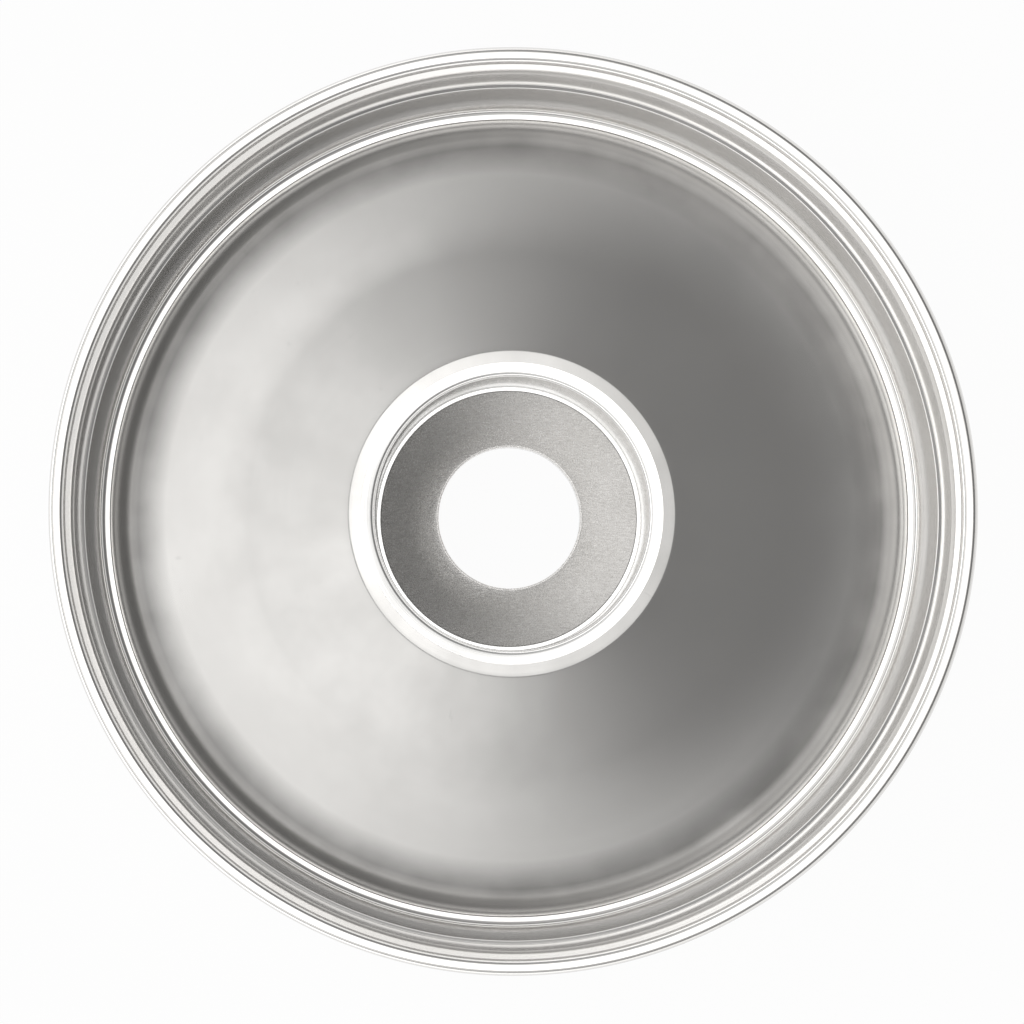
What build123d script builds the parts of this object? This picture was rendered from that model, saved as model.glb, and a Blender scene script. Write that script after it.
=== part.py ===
from build123d import *
import math
import os

# Ring-cake pan of spun sheet metal with a lift-out floor, in millimetres.
# Z is up and is the pan's axis. The origin is on the table, at the middle of the foot ring.
# Every piece is a sheet outline in the XZ half plane, turned about Z.

# Driving dimensions
rim_diameter = 260.0        # over the rolled rim
rim_level = 56.0            # height of the lip's crease, where the rim roll starts
wall_sheet = 1.0            # sheet of the side wall
floor_sheet = 1.0           # sheet of the lift-out floor
sleeve_sheet = 0.8          # sheet of the well's turned wall
collar_sheet = 0.6          # sheet of the crimped seam collar
cone_sheet = 1.5            # cast bottom of the well

rim_roll = 4.5              # rolled rim, across the outside of the roll
rim_roll_height = 3.2       # the roll is pressed flat
rim_wire_width = 2.0        # flat wire inside the roll
rim_wire_play = 0.2         # between the wire and the sheet above and below it
roll_end_gap = 0.3          # between the roll's end and the wall
bend_straight = 0.02        # shortest straight left between two bends of the roll
lip_rise = 2.2              # flared lip under the rim roll, upwards
lip_run = 2.3               # and outwards
upper_wall_height = 13.95   # steep band between the step and the lip
upper_wall_run = 1.7
step_rise = 0.6             # small bright step half way down the wall
step_run = 1.2
lower_wall_height = 20.1    # steep band between the cove and the step
lower_wall_run = 2.63
cove_height = 4.55          # hollow curve where the wall turns into the ledge
cove_run = 3.57
cove_start_angle = 2.0      # slope of the cove at the floor's edge
cove_radius = 2.3

floor_gap = 0.3             # loose floor to its ledge and to the cove
ledge_width = 6.1
foot_taper = 1.0            # the foot ring leans in by this much
foot_width = 4.0            # flat ring that stands on the table

floor_edge_angle = 38.0     # slope at the rolled-down edge of the floor
floor_edge_radius = 10.0
floor_edge_length = 4.2     # from the edge to the corner of the roll-down, along the edge's slope
field_break_radius = 84.0   # where the coned floor flattens a little
field_break_rise = 8.0      # height there, above the floor's edge
field_break_bend = 120.0
hub_base_rise = 21.4        # height where the coned floor turns up, above the floor's edge
hub_base_fillet = 3.0
hub_crest_radius = 42.7     # outer side of the hub's crest
hub_neck_run = 3.5          # the neck leans in by this much on its way up
hub_neck_rise = 2.1         # neck above the turn

well_radius = 37.95         # inside of the well just above its ledge
well_ledge_width = 1.3      # bright flat ledge round the cone
well_ledge_bend = 0.25
well_crest_gap = 3.2        # from the well's wall line out to the crest's outer side
well_lip_width = 3.5        # inward lip that carries the cone
sleeve_seam_depth = 1.75    # sleeve's top edge below the hub's crest
collar_skirt_depth = 8.75   # collar's skirt below the hub's crest
collar_bend = 1.4
collar_dish = 0.3           # the collar's flat top falls by this much towards the well
seam_gap = 0.1              # crimped pieces, sheet to sheet
cone_edge_level = 4.25      # top of the cone's outer edge above the table
cone_slope = 20.0           # rise of the cone towards the hole, in degrees
cone_edge_height = 0.75
cone_seat_width = 1.7
centre_hole_radius = 20.2
hole_lip_radius = 0.45
hole_flange_bottom = 4.0    # lower end of the hole's turned-down flange
lip_table_gap = 1.7         # underside of the well above the table


def direction(start, end):
    length = math.dist(start, end)
    return (end[0] - start[0]) / length, (end[1] - start[1]) / length


def turn_angle(before, after):
    """Turn from one unit direction to the next, in radians, positive to the left."""
    return math.atan2(before[0] * after[1] - before[1] * after[0], before[0] * after[0] + before[1] * after[1])


def fitting_radii(path, radii):
    """The radii, each made smaller where its straights are too short for the bend."""
    steps = [direction(start, end) for start, end in zip(path, path[1:])]
    bends = [math.tan(abs(turn_angle(*pair)) / 2) for pair in zip(steps, steps[1:])]
    wanted = [0] + [radius * bend for radius, bend in zip(radii, bends)] + [0]
    fitted = []
    for index, (radius, bend) in enumerate(zip(radii, bends)):
        limit = radius
        for start, neighbour in ((index, wanted[index]), (index + 1, wanted[index + 2])):
            straight = math.dist(path[start], path[start + 1]) - bend_straight / 2
            taken = wanted[index + 1] + neighbour
            if taken > straight:
                limit = min(limit, radius * straight / taken)
        fitted.append(limit)
    return fitted


def sheet_outline(path, radii, thickness):
    """Corners and radii of a bent sheet. The path is its face, and the sheet lies to its right."""
    steps = [direction(start, end) for start, end in zip(path, path[1:])]
    sides = [(rise, -run) for run, rise in steps]
    first, last = sides[0], sides[-1]
    front_radii = fitting_radii(path, radii)
    back = [(path[0][0] + thickness * first[0], path[0][1] + thickness * first[1])]
    back_radii = []
    for index, radius in enumerate(front_radii):
        corner = path[index + 1]
        before, after = sides[index], sides[index + 1]
        reach = thickness / (1 + before[0] * after[0] + before[1] * after[1])
        back.append((corner[0] + reach * (before[0] + after[0]), corner[1] + reach * (before[1] + after[1])))
        leftward = turn_angle(steps[index], steps[index + 1]) > 0
        back_radii.append(radius + thickness if leftward else max(radius - thickness, 0))
    back.append((path[-1][0] + thickness * last[0], path[-1][1] + thickness * last[1]))
    back_radii = fitting_radii(back, back_radii)
    return path + back[::-1], [0] + front_radii + [0, 0] + back_radii[::-1] + [0]


# Side wall, from the rim inwards and down
rim_radius = rim_diameter / 2
crease = (rim_radius - rim_roll, rim_level)
lip_top = (crease[0], rim_level - rim_roll_height / 2)
lip_foot = (lip_top[0] - lip_run, lip_top[1] - lip_rise)
step_outer = (lip_foot[0] - upper_wall_run, lip_foot[1] - upper_wall_height)
step_inner = (step_outer[0] - step_run, step_outer[1] - step_rise)
cove_top = (step_inner[0] - lower_wall_run, step_inner[1] - lower_wall_height)
cove_edge = (cove_top[0] - cove_run, cove_top[1] - cove_height)

# The cove's corner is where the lower wall's line meets the line that leaves its edge
wall_lean = lower_wall_run / lower_wall_height
edge_slope = math.tan(math.radians(cove_start_angle))
cove_corner_run = (cove_height - cove_run / wall_lean) / (edge_slope - 1 / wall_lean)
cove_corner = (cove_edge[0] + cove_corner_run, cove_edge[1] + cove_corner_run * edge_slope)

# Loose floor, from its edge inwards and up
floor_edge = (cove_edge[0] - floor_gap, cove_edge[1])
edge_lean = math.radians(floor_edge_angle)
hub_base = (hub_crest_radius + hub_neck_run, floor_edge[1] + hub_base_rise)
shoulder = (
    floor_edge[0] - floor_edge_length * math.cos(edge_lean),
    floor_edge[1] + floor_edge_length * math.sin(edge_lean),
)
field_break = (field_break_radius, floor_edge[1] + field_break_rise)
crest = (hub_crest_radius, hub_base[1] + hub_neck_rise)

# Ledge and foot ring, which follow the floor's underside
floor_underside = floor_edge[1] - floor_sheet * math.cos(edge_lean)
ledge_level = floor_underside - floor_gap
ledge_inner = (cove_edge[0] - ledge_width, ledge_level)
foot_corner = (ledge_inner[0] - foot_taper, wall_sheet)
foot_inner = (foot_corner[0] - foot_width, wall_sheet)

with BuildPart() as pan_wall:
    with BuildSketch(Plane.XZ):
        with BuildLine():
            roll_bottom = rim_level - rim_roll_height / 2
            roll_top = rim_level + rim_roll_height / 2
            roll_radius = (rim_roll_height - bend_straight) / 2
            wall_path = [
                foot_inner,
                foot_corner,
                ledge_inner,
                (cove_edge[0], ledge_level),
                cove_edge,
                cove_corner,
                step_inner,
                step_outer,
                lip_foot,
                lip_top,
                (crease[0], roll_top),
                (rim_radius, roll_top),
                (rim_radius, roll_bottom),
                (crease[0] + wall_sheet + roll_end_gap, roll_bottom),
            ]
            wall_radii = [1.0, 2.0, 0.3, 0, cove_radius, 0.6, 0.3, 4.0, 0.4, roll_radius, roll_radius, roll_radius]
            corners, radii = sheet_outline(wall_path, wall_radii, wall_sheet)
            FilletPolyline(*corners, radius=radii, close=True)
        make_face()
    revolve(axis=Axis.Z)
pan_wall.part.label = "pan_wall"

with BuildPart() as rim_wire:
    with BuildSketch(Plane.XZ):
        with Locations((rim_radius - rim_roll / 2, rim_level)):
            SlotOverall(rim_wire_width, rim_roll_height - 2 * (wall_sheet + rim_wire_play))
    revolve(axis=Axis.Z)
rim_wire.part.label = "rim_wire"

with BuildPart() as lift_out_floor:
    with BuildSketch(Plane.XZ):
        with BuildLine():
            floor_path = [crest, hub_base, field_break, shoulder, floor_edge]
            floor_radii = [hub_base_fillet, field_break_bend, floor_edge_radius]
            corners, radii = sheet_outline(floor_path, floor_radii, floor_sheet)
            FilletPolyline(*corners, radius=radii, close=True)
        make_face()
    revolve(axis=Axis.Z)
lift_out_floor.part.label = "lift_out_floor"


# The well's wall is a straight line from its ledge up to the hub's crest
well_taper = (hub_crest_radius - well_crest_gap - well_radius) / (crest[1] - cone_edge_level)


def well_wall(height):
    """Radius of the well's inside at a height above the table."""
    return well_radius + (height - cone_edge_level) * well_taper


seat_radius = well_radius - well_ledge_width
lip_level = lip_table_gap + sleeve_sheet
sleeve_top = crest[1] - sleeve_seam_depth
with BuildPart() as well_sleeve:
    with BuildSketch(Plane.XZ):
        with BuildLine():
            sleeve_path = [
                (seat_radius - well_lip_width, lip_level),
                (seat_radius, lip_level),
                (seat_radius, cone_edge_level),
                (well_radius, cone_edge_level),
                (well_wall(sleeve_top), sleeve_top),
            ]
            sleeve_radii = [sleeve_sheet, well_ledge_bend, well_ledge_bend]
            corners, radii = sheet_outline(sleeve_path, sleeve_radii, sleeve_sheet)
            FilletPolyline(*corners, radius=radii, close=True)
        make_face()
    revolve(axis=Axis.Z)
well_sleeve.part.label = "well_sleeve"

collar_top = crest[1] + seam_gap + collar_sheet
collar_brim = collar_top - collar_dish
skirt_bottom = crest[1] - collar_skirt_depth
skirt_inset = (collar_sheet + seam_gap) / math.cos(math.atan(well_taper))
with BuildPart() as seam_collar:
    with BuildSketch(Plane.XZ):
        with BuildLine():
            collar_path = [
                (well_wall(skirt_bottom) - skirt_inset, skirt_bottom),
                (well_wall(collar_brim) - skirt_inset, collar_brim),
                (hub_crest_radius, collar_top),
            ]
            corners, radii = sheet_outline(collar_path, [collar_bend], collar_sheet)
            FilletPolyline(*corners, radius=radii, close=True)
        make_face()
    revolve(axis=Axis.Z)
seam_collar.part.label = "seam_collar"

cone_radius = seat_radius - seam_gap
cone_rise = math.tan(math.radians(cone_slope))
cone_drop = cone_sheet / math.cos(math.radians(cone_slope))
cone_foot = lip_level + seam_gap
seat_outer = seat_radius - sleeve_sheet
seat_inner = seat_outer - cone_seat_width
flange_outer = centre_hole_radius + cone_sheet


def cone_top(radius):
    """Height of the cone's upper face at a radius."""
    return cone_edge_level + (cone_radius - radius) * cone_rise


with BuildPart() as vent_cone:
    with BuildSketch(Plane.XZ):
        with BuildLine():
            cone_outline = [
                (centre_hole_radius, hole_flange_bottom),
                (centre_hole_radius, cone_top(centre_hole_radius)),
                (cone_radius, cone_edge_level),
                (cone_radius, cone_edge_level - cone_edge_height),
                (seat_outer, cone_foot),
                (seat_inner, cone_foot),
                (seat_inner, cone_top(seat_inner) - cone_drop),
                (flange_outer, cone_top(flange_outer) - cone_drop),
                (flange_outer, hole_flange_bottom),
            ]
            FilletPolyline(*cone_outline, radius=[0, hole_lip_radius] + [0] * 7, close=True)
        make_face()
    revolve(axis=Axis.Z)
vent_cone.part.label = "vent_cone"

os.makedirs("parts", exist_ok=True)
for piece in (pan_wall, rim_wire, lift_out_floor, well_sleeve, seam_collar, vent_cone):
    export_step(piece.part, f"parts/{piece.part.label}.step")
    box = piece.part.bounding_box()
    print(piece.part.label, round(piece.part.volume), "mm3, z", round(box.min.Z, 2), round(box.max.Z, 2))
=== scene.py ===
import bpy
import math
import numpy as np
from mathutils import Matrix


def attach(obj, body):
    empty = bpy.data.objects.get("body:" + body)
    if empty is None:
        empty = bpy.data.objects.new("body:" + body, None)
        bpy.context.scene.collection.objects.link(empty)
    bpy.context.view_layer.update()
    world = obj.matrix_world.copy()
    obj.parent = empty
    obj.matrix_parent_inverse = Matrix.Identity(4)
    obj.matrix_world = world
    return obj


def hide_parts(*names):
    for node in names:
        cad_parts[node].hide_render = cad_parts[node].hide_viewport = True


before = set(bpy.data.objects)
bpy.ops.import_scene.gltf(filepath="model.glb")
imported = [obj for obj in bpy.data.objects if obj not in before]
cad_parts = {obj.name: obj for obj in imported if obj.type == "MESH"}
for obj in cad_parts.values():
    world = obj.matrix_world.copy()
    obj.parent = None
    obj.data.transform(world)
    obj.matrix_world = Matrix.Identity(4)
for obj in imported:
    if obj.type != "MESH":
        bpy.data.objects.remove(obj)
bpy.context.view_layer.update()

# Ring cake pan of spun sheet metal, in metres. Z is the pan's axis, and the foot stands on z = 0.
MM = 0.001
TURNS = 720                     # steps round the pan
ARC_STEP = math.radians(6)      # step along a bend of the sheet
STRAIGHT_STEP = 1.6 * MM        # step along a straight stretch of the sheet


# ---------------------------------------------------------------- sheet outlines

def unit(vector):
    return vector / np.linalg.norm(vector)


def turn_angle(before, after):
    """Signed turn between two directions, positive to the left."""
    return math.atan2(before[0] * after[1] - before[1] * after[0], before @ after)


def bent_path(corners, radii):
    """Points along a bent line: straights between the corners, and at each corner an arc of its radius.

    An arc leaves its straights at radius * tan(turn / 2) from the corner, and its centre lies on the
    side it turns to. Straights are divided evenly, so that the surface can carry a gentle wave.
    """
    corners = [np.asarray(corner, float) for corner in corners]
    stretches = []
    start = corners[0]
    for before, corner, after, radius in zip(corners, corners[1:], corners[2:], radii):
        come, leave = unit(corner - before), unit(after - corner)
        turn = turn_angle(come, leave)
        tangent = radius * math.tan(abs(turn) / 2)
        arc_start, arc_end = corner - come * tangent, corner + leave * tangent
        stretches.append(straight(start, arc_start))
        if radius > 0:
            side = np.array([-come[1], come[0]]) * math.copysign(1, turn)
            centre = arc_start + side * radius
            steps = max(3, math.ceil(abs(turn) / ARC_STEP))
            angle = np.linspace(0, turn, steps + 1)[:-1, None]
            spoke = -side * radius
            across = np.array([-spoke[1], spoke[0]])
            stretches.append(centre + np.cos(angle) * spoke + np.sin(angle) * across)
        start = arc_end
    stretches.append(straight(start, corners[-1]))
    return np.vstack(stretches + [corners[-1][None]])


def straight(start, end):
    """Points from start up to, but not including, end."""
    count = max(1, math.ceil(np.linalg.norm(end - start) / STRAIGHT_STEP))
    share = np.linspace(0, 1, count + 1)[:-1, None]
    return start + (end - start) * share


def sheet_section(corners, radii, thickness):
    """Closed section of a bent sheet. The corners lie on its face, and the sheet to the right of them."""
    corners = [np.asarray(corner, float) for corner in corners]
    steps = [unit(b - a) for a, b in zip(corners, corners[1:])]
    sides = [np.array([step[1], -step[0]]) for step in steps]
    back = [corners[0] + thickness * sides[0]]
    back_radii = []
    for index, radius in enumerate(radii):
        before, after = sides[index], sides[index + 1]
        back.append(corners[index + 1] + thickness * (before + after) / (1 + before @ after))
        leftward = turn_angle(steps[index], steps[index + 1]) > 0
        back_radii.append(radius + thickness if leftward else max(radius - thickness, 0))
    back.append(corners[-1] + thickness * sides[-1])
    for index, radius in enumerate(back_radii):
        bend = math.tan(abs(turn_angle(steps[index], steps[index + 1])) / 2)
        room_before = np.linalg.norm(back[index + 1] - back[index])
        room_after = np.linalg.norm(back[index + 2] - back[index + 1])
        room = min(room_before, room_after)
        back_radii[index] = min(radius, 0.98 * room / bend)
    return np.vstack([bent_path(corners, radii), bent_path(back, back_radii)[::-1]])


def turned(name, section, wave=0.0, seed=0.0):
    """Surface of revolution: each section point (radius, height) goes round Z by an angle.

    A spun sheet is never quite true, so the height gets a wave of a few hundredths of a millimetre:
    a sum of sines of the angle whose phase drifts with the radius. It fades out at the foot and the top.
    """
    angle = np.linspace(0, 2 * np.pi, TURNS, endpoint=False)[:, None]
    radius, height = section[None, :, 0], section[None, :, 1]
    lift = sum(
        np.sin(lobes * angle + seed * lobes + radius / (pitch * MM)) / lobes
        for lobes, pitch in ((2, 35.0), (3, -22.0), (5, 16.0), (7, -12.0))
    )
    share = height / height.max()
    height = height + wave * 4 * share * (1 - share) * lift
    points = np.stack([radius * np.cos(angle), radius * np.sin(angle), height + 0 * angle], axis=-1)
    return grid_mesh(name, points)


def grid_mesh(name, points):
    """A mesh from a grid of points that closes on itself both ways, its faces pointing outwards."""
    rounds, along = points.shape[:2]
    index = np.arange(rounds * along).reshape(rounds, along)
    ahead, beside = np.roll(index, -1, 0), np.roll(index, -1, 1)
    corner = np.roll(ahead, -1, 1)
    faces = np.stack([index, ahead, corner, beside], axis=-1).reshape(-1, 4)
    mesh = bpy.data.meshes.new(name)
    mesh.vertices.add(rounds * along)
    mesh.vertices.foreach_set("co", points.reshape(-1).astype(np.float32))
    mesh.loops.add(faces.size)
    mesh.loops.foreach_set("vertex_index", faces.reshape(-1).astype(np.int32))
    mesh.polygons.add(len(faces))
    mesh.polygons.foreach_set("loop_start", np.arange(0, faces.size, 4, dtype=np.int32))
    mesh.polygons.foreach_set("loop_total", np.full(len(faces), 4, dtype=np.int32))
    mesh.update(calc_edges=True)
    mesh.shade_smooth()
    mesh.set_sharp_from_angle(angle=math.radians(35))
    piece = bpy.data.objects.new(name, mesh)
    bpy.context.scene.collection.objects.link(piece)
    return piece


# ---------------------------------------------------------------- sizes

rim_radius = 130.0 * MM
rim_level = 56.0 * MM
rim_roll = 4.5 * MM             # width of the rolled rim, which is pressed flat
roll_height = 3.2 * MM
sheet = 1.0 * MM
lip_top = np.array([rim_radius - rim_roll, rim_level - roll_height / 2])
lip_foot = lip_top - np.array([2.3, 2.2]) * MM
step_outer = lip_foot - np.array([1.7, 13.95]) * MM
step_inner = step_outer - np.array([1.2, 0.6]) * MM
lower_wall = np.array([2.63, 20.1]) * MM
cove = np.array([3.57, 4.55]) * MM
cove_edge = step_inner - lower_wall - cove
cove_start = math.radians(2.0)
wall_lean = lower_wall[0] / lower_wall[1]
cove_run = (cove[1] - cove[0] / wall_lean) / (math.tan(cove_start) - 1 / wall_lean)
cove_corner = cove_edge + cove_run * np.array([1, math.tan(cove_start)])

floor_gap = 0.3 * MM
floor_edge = cove_edge - np.array([floor_gap, 0])
edge_slope = math.radians(38.0)
shoulder = floor_edge + 4.2 * MM * np.array([-math.cos(edge_slope), math.sin(edge_slope)])
crest_radius = 42.7 * MM
hub_base = np.array([crest_radius + 3.5 * MM, floor_edge[1] + 21.4 * MM])
crest = hub_base + np.array([-3.5, 2.1]) * MM
field_break = np.array([84.0 * MM, floor_edge[1] + 8.0 * MM])

ledge_level = floor_edge[1] - sheet * math.cos(edge_slope) - floor_gap
ledge_inner = np.array([cove_edge[0] - 6.1 * MM, ledge_level])
foot_corner = np.array([ledge_inner[0] - 1.0 * MM, sheet])
foot_inner = foot_corner - np.array([4.0 * MM, 0])

cone_level = 4.25 * MM
well_radius = 37.95 * MM
seat_radius = well_radius - 1.3 * MM
well_taper = (crest_radius - 3.2 * MM - well_radius) / (crest[1] - cone_level)


def well_wall(height):
    """Radius of the well's inside at a height."""
    return well_radius + (height - cone_level) * well_taper


# ---------------------------------------------------------------- pieces

def make_wall():
    roll_top, roll_bottom = rim_level + roll_height / 2, rim_level - roll_height / 2
    roll = roll_height / 2 - 0.01 * MM
    path = [
        foot_inner,
        foot_corner,
        ledge_inner,
        (cove_edge[0], ledge_level),
        cove_edge,
        cove_corner,
        step_inner,
        step_outer,
        lip_foot,
        lip_top,
        (lip_top[0], roll_top),
        (rim_radius, roll_top),
        (rim_radius, roll_bottom),
        (lip_top[0] + sheet + 0.3 * MM, roll_bottom),
    ]
    radii = np.array([1.0, 2.0, 0.3, 0, 2.3, 0.6, 0.3, 4.0, 0.4]) * MM
    return turned("spun_wall", sheet_section(path, list(radii) + [roll] * 3, sheet), 0.02 * MM, 0.4)


def make_floor():
    path = [crest, hub_base, field_break, shoulder, floor_edge]
    section = sheet_section(path, [3.0 * MM, 120.0 * MM, 10.0 * MM], sheet)
    return turned("coned_floor", section, 0.02 * MM, 1.3)


def make_sleeve():
    thickness = 0.8 * MM
    lip = 1.7 * MM + thickness
    top = crest[1] - 1.75 * MM
    path = [
        (seat_radius - 3.5 * MM, lip),
        (seat_radius, lip),
        (seat_radius, cone_level),
        (well_radius, cone_level),
        (well_wall(top), top),
    ]
    bends = [thickness, 0.25 * MM, 0.25 * MM]
    return turned("turned_sleeve", sheet_section(path, bends, thickness))


def make_collar():
    thickness, gap = 0.6 * MM, 0.1 * MM
    top = crest[1] + gap + thickness
    bottom = crest[1] - 8.75 * MM
    inset = (thickness + gap) / math.cos(math.atan(well_taper))
    brim = top - 0.3 * MM
    path = [(well_wall(bottom) - inset, bottom), (well_wall(brim) - inset, brim), (crest_radius, top)]
    return turned("crimped_collar", sheet_section(path, [1.4 * MM], thickness))


def make_cone():
    slope = math.radians(20.0)
    edge_drop = 0.75 * MM
    outer = seat_radius - 0.1 * MM
    drop = 1.5 * MM / math.cos(slope)
    foot = 2.6 * MM
    seat_outer = seat_radius - 0.8 * MM
    seat_inner = seat_outer - 1.7 * MM
    hole, flange = 20.2 * MM, 21.7 * MM

    def top(radius):
        return cone_level + (outer - radius) * math.tan(slope)

    outline = [
        (hole, 6.0 * MM),
        (hole, top(hole)),
        (outer, cone_level),
        (outer, cone_level - edge_drop),
        (seat_outer, foot),
        (seat_inner, foot),
        (seat_inner, top(seat_inner) - drop),
        (flange, top(flange) - drop),
        (flange, 4.0 * MM),
        (hole, 4.0 * MM),
        (hole, 6.0 * MM),
    ]
    radii = np.array([0.45, 0, 0, 0, 0, 0, 0, 0, 0]) * MM
    return turned("vent_cone_cast", bent_path(outline, radii)[:-1])


# ---------------------------------------------------------------- materials

def link(tree, source, target):
    tree.links.new(source, target)


def maths(tree, operation, *values):
    """A Math node. Each value is a number or another node's output."""
    node = tree.nodes.new("ShaderNodeMath")
    node.operation = operation
    for socket, value in zip(node.inputs, values):
        if isinstance(value, (int, float)):
            socket.default_value = value
        else:
            tree.links.new(value, socket)
    return node.outputs[0]


def vector_maths(tree, operation, *values):
    """A Vector Math node. Each value is a triple or another node's output."""
    node = tree.nodes.new("ShaderNodeVectorMath")
    node.operation = operation
    for socket, value in zip(node.inputs, values):
        if isinstance(value, tuple):
            socket.default_value = value
        else:
            tree.links.new(value, socket)
    return node.outputs["Value" if operation in ("LENGTH", "DOT_PRODUCT", "DISTANCE") else "Vector"]


def noise(tree, vector, scale, detail=2.0, roughness=0.5):
    node = tree.nodes.new("ShaderNodeTexNoise")
    node.inputs["Scale"].default_value = scale
    node.inputs["Detail"].default_value = detail
    node.inputs["Roughness"].default_value = roughness
    tree.links.new(vector, node.inputs["Vector"])
    return node.outputs["Fac"]


def spread(tree, value, low, high, to_low, to_high):
    """A value from low to high carried onto to_low to to_high, held at its ends."""
    node = tree.nodes.new("ShaderNodeMapRange")
    for name, number in zip(("From Min", "From Max", "To Min", "To Max"), (low, high, to_low, to_high)):
        node.inputs[name].default_value = number
    tree.links.new(value, node.inputs["Value"])
    return node.outputs["Result"]


def new_group(name, outputs):
    group = bpy.data.node_groups.new(name, "ShaderNodeTree")
    for label, kind in outputs:
        group.interface.new_socket(label, in_out="OUTPUT", socket_type=kind)
    return group, group.nodes.new("NodeGroupOutput")


def make_spin_marks():
    """Marks that a spinning tool leaves: noise that hardly changes round the axis and fast across it.

    The noise is read at (direction round the axis, distance along the sheet from the axis), so a mark
    is a ring arc, and there is no seam. Rings are the fine tool lines, Clouds are broad soft smears
    drawn out round the axis, and Specks are rare short ticks.
    """
    group, output = new_group("spin_marks", [
        ("Rings", "NodeSocketFloat"),
        ("Clouds", "NodeSocketFloat"),
        ("Specks", "NodeSocketFloat"),
    ])
    place = group.nodes.new("ShaderNodeTexCoord").outputs["Object"]
    flat = vector_maths(group, "MULTIPLY", place, (1, 1, 0))
    radius = vector_maths(group, "LENGTH", flat)
    around = vector_maths(group, "NORMALIZE", flat)
    split = group.nodes.new("ShaderNodeSeparateXYZ")
    link(group, place, split.inputs[0])
    along = maths(group, "ADD", radius, maths(group, "MULTIPLY", split.outputs["Z"], 0.8))

    def drawn_out(round_scale, across_scale):
        across = group.nodes.new("ShaderNodeCombineXYZ")
        link(group, maths(group, "MULTIPLY", along, across_scale), across.inputs["Z"])
        turn = vector_maths(group, "MULTIPLY", around, (round_scale, round_scale, 0))
        return vector_maths(group, "ADD", turn, across.outputs[0])

    rings = noise(group, drawn_out(0.8, 900.0), 1.0, detail=3.0, roughness=0.6)
    clouds = noise(group, drawn_out(2.2, 42.0), 1.0, detail=4.0, roughness=0.55)
    specks = noise(group, drawn_out(60.0, 700.0), 1.0, detail=0.0)
    link(group, rings, output.inputs["Rings"])
    link(group, clouds, output.inputs["Clouds"])
    link(group, spread(group, specks, 0.80, 0.86, 0, 1), output.inputs["Specks"])
    return group


spin_marks = make_spin_marks()


def metal(name, roughness):
    """A bare metal shader and the tree that it is in."""
    material = bpy.data.materials.new(name)
    material.use_nodes = True
    tree = material.node_tree
    tree.nodes.clear()
    output = tree.nodes.new("ShaderNodeOutputMaterial")
    shader = tree.nodes.new("ShaderNodeBsdfPrincipled")
    shader.inputs["Metallic"].default_value = 1
    shader.inputs["Roughness"].default_value = roughness
    link(tree, shader.outputs["BSDF"], output.inputs["Surface"])
    return material, tree, shader


def tint(tree, value, dark, light, shader):
    """Base colour between a dark and a light metal."""
    mix = tree.nodes.new("ShaderNodeMix")
    mix.data_type = "RGBA"
    mix.inputs["A"].default_value = (*dark, 1)
    mix.inputs["B"].default_value = (*light, 1)
    link(tree, value, mix.inputs["Factor"])
    link(tree, mix.outputs["Result"], shader.inputs["Base Color"])


def raise_bump(tree, height, distance, shader):
    bump = tree.nodes.new("ShaderNodeBump")
    bump.inputs["Strength"].default_value = 1.0
    bump.inputs["Distance"].default_value = distance
    link(tree, height, bump.inputs["Height"])
    link(tree, bump.outputs["Normal"], shader.inputs["Normal"])


def spun_metal(name, dark, light, roughness, ring_depth):
    """Spun sheet: tool rings in the bump, and smears that shift its colour and its gloss."""
    material, tree, shader = metal(name, roughness)
    marks = tree.nodes.new("ShaderNodeGroup")
    marks.node_tree = spin_marks
    clouds = spread(tree, marks.outputs["Clouds"], 0.35, 0.65, 0, 1)
    worn = maths(tree, "SUBTRACT", clouds, maths(tree, "MULTIPLY", marks.outputs["Specks"], 0.8))
    tint(tree, worn, dark, light, shader)
    gloss = spread(tree, clouds, 0, 1, roughness + 0.03, roughness - 0.03)
    link(tree, gloss, shader.inputs["Roughness"])
    raise_bump(tree, marks.outputs["Rings"], ring_depth, shader)
    return material


def paint_shade_band(material, radius, half_width, strength):
    """Painted shade: a patchy darker band round the axis, darkest at the radius and gone at half_width
    from it. It stands in for the shade on the floor where its edge drops towards the wall.
    """
    tree = material.node_tree
    shader = next(node for node in tree.nodes if node.type == "BSDF_PRINCIPLED")
    colour = shader.inputs["Base Color"].links[0].from_socket
    place = tree.nodes.new("ShaderNodeTexCoord").outputs["Object"]
    from_axis = vector_maths(tree, "LENGTH", vector_maths(tree, "MULTIPLY", place, (1.0, 1.0, 0.0)))
    offset = maths(tree, "ABSOLUTE", maths(tree, "SUBTRACT", from_axis, radius))
    patches = spread(tree, noise(tree, place, 60.0), 0.3, 0.7, 0.8, 1.1)
    depth = maths(tree, "MULTIPLY", spread(tree, offset, 0, half_width, strength, 0), patches)
    mix = tree.nodes.new("ShaderNodeMix")
    mix.data_type = "RGBA"
    mix.inputs["B"].default_value = (0.0, 0.0, 0.0, 1)
    link(tree, depth, mix.inputs["Factor"])
    link(tree, colour, mix.inputs["A"])
    link(tree, mix.outputs["Result"], shader.inputs["Base Color"])


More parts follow.
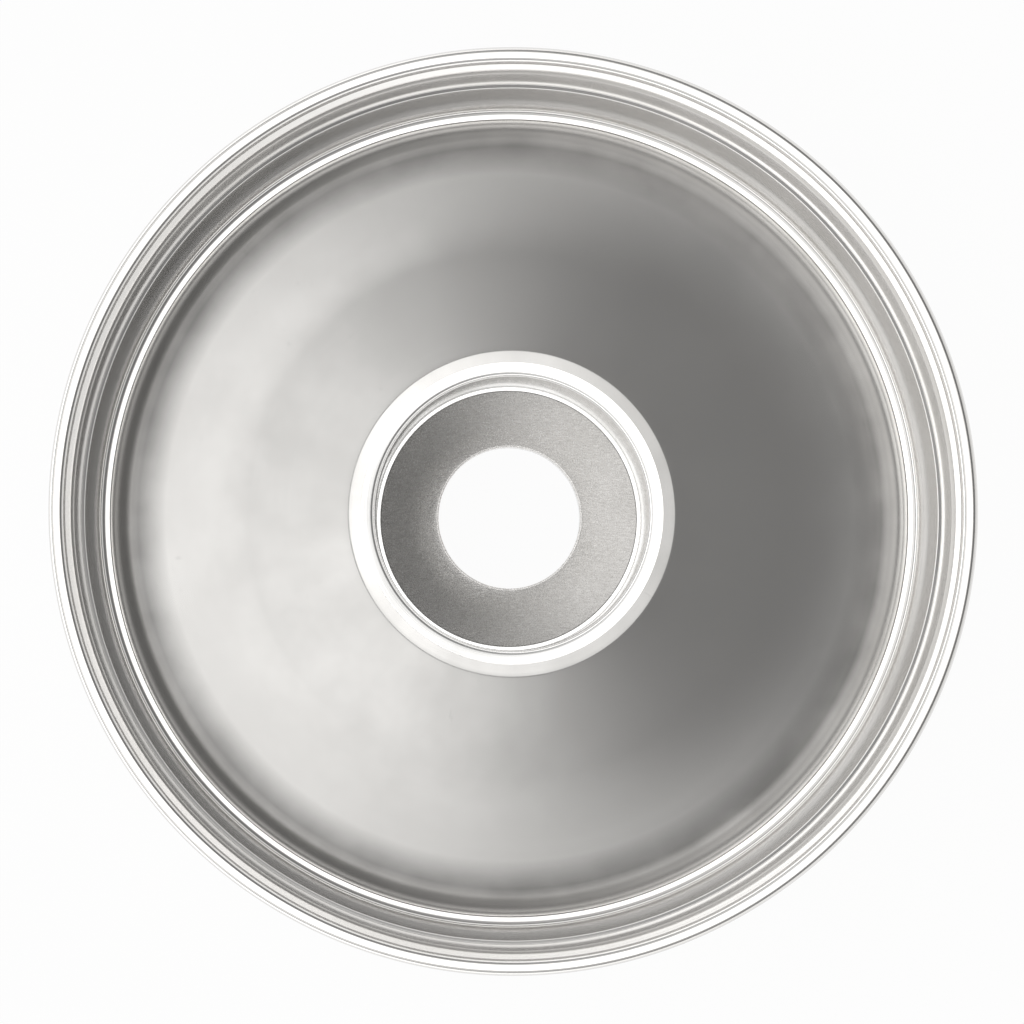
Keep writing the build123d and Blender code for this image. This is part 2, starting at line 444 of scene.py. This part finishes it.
def cast_metal(name):
    """Fine-grained casting: grain about a third of a millimetre across, crossed by a faint hatch."""
    material, tree, shader = metal(name, 0.24)
    place = tree.nodes.new("ShaderNodeTexCoord").outputs["Object"]
    grain = noise(tree, place, 2600.0, detail=2.0, roughness=0.7)
    hatch = noise(tree, vector_maths(tree, "MULTIPLY", place, (500.0, 3600.0, 500.0)), 1.0, detail=1.0)
    mixed = maths(tree, "ADD", maths(tree, "MULTIPLY", grain, 0.65), maths(tree, "MULTIPLY", hatch, 0.35))
    tint(tree, spread(tree, mixed, 0.36, 0.64, 0, 1), (0.66, 0.645, 0.63), (0.95, 0.94, 0.925), shader)
    link(tree, spread(tree, grain, 0.3, 0.7, 0.19, 0.29), shader.inputs["Roughness"])
    raise_bump(tree, mixed, 0.00006, shader)
    return material


spun = spun_metal("spun_satin_wall", (0.78, 0.77, 0.755), (0.82, 0.81, 0.80), 0.16, 0.000010)
spun_floor = spun_metal("spun_satin_floor", (0.77, 0.76, 0.745), (0.83, 0.82, 0.805), 0.22, 0.000008)
# Painted shade on the floor near its outer edge, by the foot of the wall.
paint_shade_band(spun_floor, 106 * MM, 8 * MM, 0.55)
bright = spun_metal("bright_turned", (0.88, 0.875, 0.865), (0.92, 0.915, 0.91), 0.17, 0.000012)
cast = cast_metal("cast_grain")
wire_steel = spun_metal("drawn_wire", (0.50, 0.50, 0.50), (0.60, 0.60, 0.60), 0.32, 0.00001)

for piece, node, body, slot, material in (
    (make_wall(), "pan_wall", "pan_body", "spun_wall", spun),
    (make_floor(), "lift_out_floor", "floor_unit", "spun_floor", spun_floor),
    (make_sleeve(), "well_sleeve", "floor_unit", "turned_sleeve", bright),
    (make_collar(), "seam_collar", "floor_unit", "collar", bright),
    (make_cone(), "vent_cone", "floor_unit", "cast_cone", cast),
):
    piece.data.materials.append(material)
    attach(piece, body)
    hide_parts(node)
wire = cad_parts["rim_wire"]
wire.data.materials.clear()
wire.data.materials.append(wire_steel)


# ---------------------------------------------------------------- stage, light, camera

def make_table():
    """A wide pale table whose rim lies far outside every view."""
    mesh = bpy.data.meshes.new("table")
    half = 12.0
    corners = [(-half, -half, 0), (half, -half, 0), (half, half, 0), (-half, half, 0)]
    mesh.from_pydata(corners, [], [(0, 1, 2, 3)])
    table = bpy.data.objects.new("table", mesh)
    bpy.context.scene.collection.objects.link(table)
    material = bpy.data.materials.new("table_white")
    material.use_nodes = True
    tree = material.node_tree
    tree.nodes.clear()
    output = tree.nodes.new("ShaderNodeOutputMaterial")
    paint = tree.nodes.new("ShaderNodeBsdfDiffuse")
    paint.inputs["Color"].default_value = (0.9, 0.9, 0.9, 1)
    glow = tree.nodes.new("ShaderNodeEmission")
    glow.inputs["Color"].default_value = (1, 1, 1, 1)
    glow.inputs["Strength"].default_value = 1.0
    path = tree.nodes.new("ShaderNodeLightPath")
    seen = maths(tree, "MAXIMUM", path.outputs["Is Camera Ray"], path.outputs["Is Glossy Ray"])
    seen = maths(tree, "MAXIMUM", seen, path.outputs["Is Transmission Ray"])
    mix = tree.nodes.new("ShaderNodeMixShader")
    tree.links.new(maths(tree, "MULTIPLY", seen, 0.95), mix.inputs[0])
    tree.links.new(paint.outputs[0], mix.inputs[1])
    tree.links.new(glow.outputs[0], mix.inputs[2])
    tree.links.new(mix.outputs[0], output.inputs["Surface"])
    mesh.materials.append(material)


def make_studio():
    """Soft studio light as a world whose strength is a sum of soft patches of sky.

    A direction's X and Y are its place in the sky's disc. Its distance from the middle is the sine of
    its angle off the zenith, and its lean is how far it lies towards the key side, from -1 to 1.
    """
    world = bpy.data.worlds.new("studio")
    world.use_nodes = True
    bpy.context.scene.world = world
    tree = world.node_tree
    tree.nodes.clear()
    key_bearing = math.radians(190)

    def wire(source, target):
        tree.links.new(source, target)

    def sky_vector(operation, other):
        node = tree.nodes.new("ShaderNodeVectorMath")
        node.operation = operation
        node.inputs[1].default_value = other
        return node

    def between(value, start, end):
        """0 at start and 1 at end, with a soft change between them."""
        node = tree.nodes.new("ShaderNodeMapRange")
        node.interpolation_type = "SMOOTHSTEP"
        node.inputs["From Min"].default_value = start
        node.inputs["From Max"].default_value = end
        wire(value, node.inputs["Value"])
        return node.outputs["Result"]

    def combine(operation, first, second):
        node = tree.nodes.new("ShaderNodeMath")
        node.operation = operation
        for value, socket in ((first, node.inputs[0]), (second, node.inputs[1])):
            if isinstance(value, float):
                socket.default_value = value
            else:
                wire(value, socket)
        return node.outputs[0]

    place = tree.nodes.new("ShaderNodeTexCoord").outputs["Generated"]
    disc = sky_vector("MULTIPLY", (1, 1, 0))
    wire(place, disc.inputs[0])
    reach = sky_vector("LENGTH", (0, 0, 0))
    wire(disc.outputs[0], reach.inputs[0])
    off_zenith = reach.outputs["Value"]
    towards_key = sky_vector("DOT_PRODUCT", (math.cos(key_bearing), math.sin(key_bearing), 0))
    wire(place, towards_key.inputs[0])
    lean = towards_key.outputs["Value"]

    overhead = between(off_zenith, 0.33, 0.10)
    key = combine("MULTIPLY", between(lean, -0.5, 0.6), between(off_zenith, 0.80, 0.62))
    surround = combine("MULTIPLY", between(off_zenith, 0.80, 0.88), combine("ADD", lean, 2.1))
    total = combine("ADD", 0.19, combine("MULTIPLY", overhead, 1.25))
    total = combine("ADD", total, combine("MULTIPLY", key, 0.9))
    total = combine("ADD", total, combine("MULTIPLY", surround, 0.52))
    background = tree.nodes.new("ShaderNodeBackground")
    background.inputs["Color"].default_value = (1.0, 0.995, 0.985, 1)
    wire(total, background.inputs["Strength"])
    output = tree.nodes.new("ShaderNodeOutputWorld")
    wire(background.outputs[0], output.inputs["Surface"])


def make_camera():
    """Long lens, almost straight down, leaning a few degrees from the lower left."""
    data = bpy.data.cameras.new("camera")
    camera = bpy.data.objects.new("camera", data)
    bpy.context.scene.collection.objects.link(camera)
    distance = 2.0
    lean, bearing = math.radians(3.2), math.radians(238.5)
    frame_width = 2.20215 * rim_radius
    data.lens = data.sensor_width * distance / frame_width
    data.clip_end = 50
    side = math.sin(lean)
    away = np.array([side * math.cos(bearing), side * math.sin(bearing), math.cos(lean)])
    up = np.array([0, 1, 0]) - away * away[1]
    up /= np.linalg.norm(up)
    right = np.cross(up, away)
    target = np.array([0, 0, rim_level]) - (right * 0.00205 + up * 0.001855) * frame_width
    place = target + away * distance
    turn_and_place = np.eye(4)
    turn_and_place[:3] = np.stack([right, up, away, place], 1)
    camera.matrix_world = Matrix(turn_and_place.tolist())
    bpy.context.scene.camera = camera


make_table()
make_studio()
make_camera()
bpy.context.scene.view_settings.view_transform = "Standard"
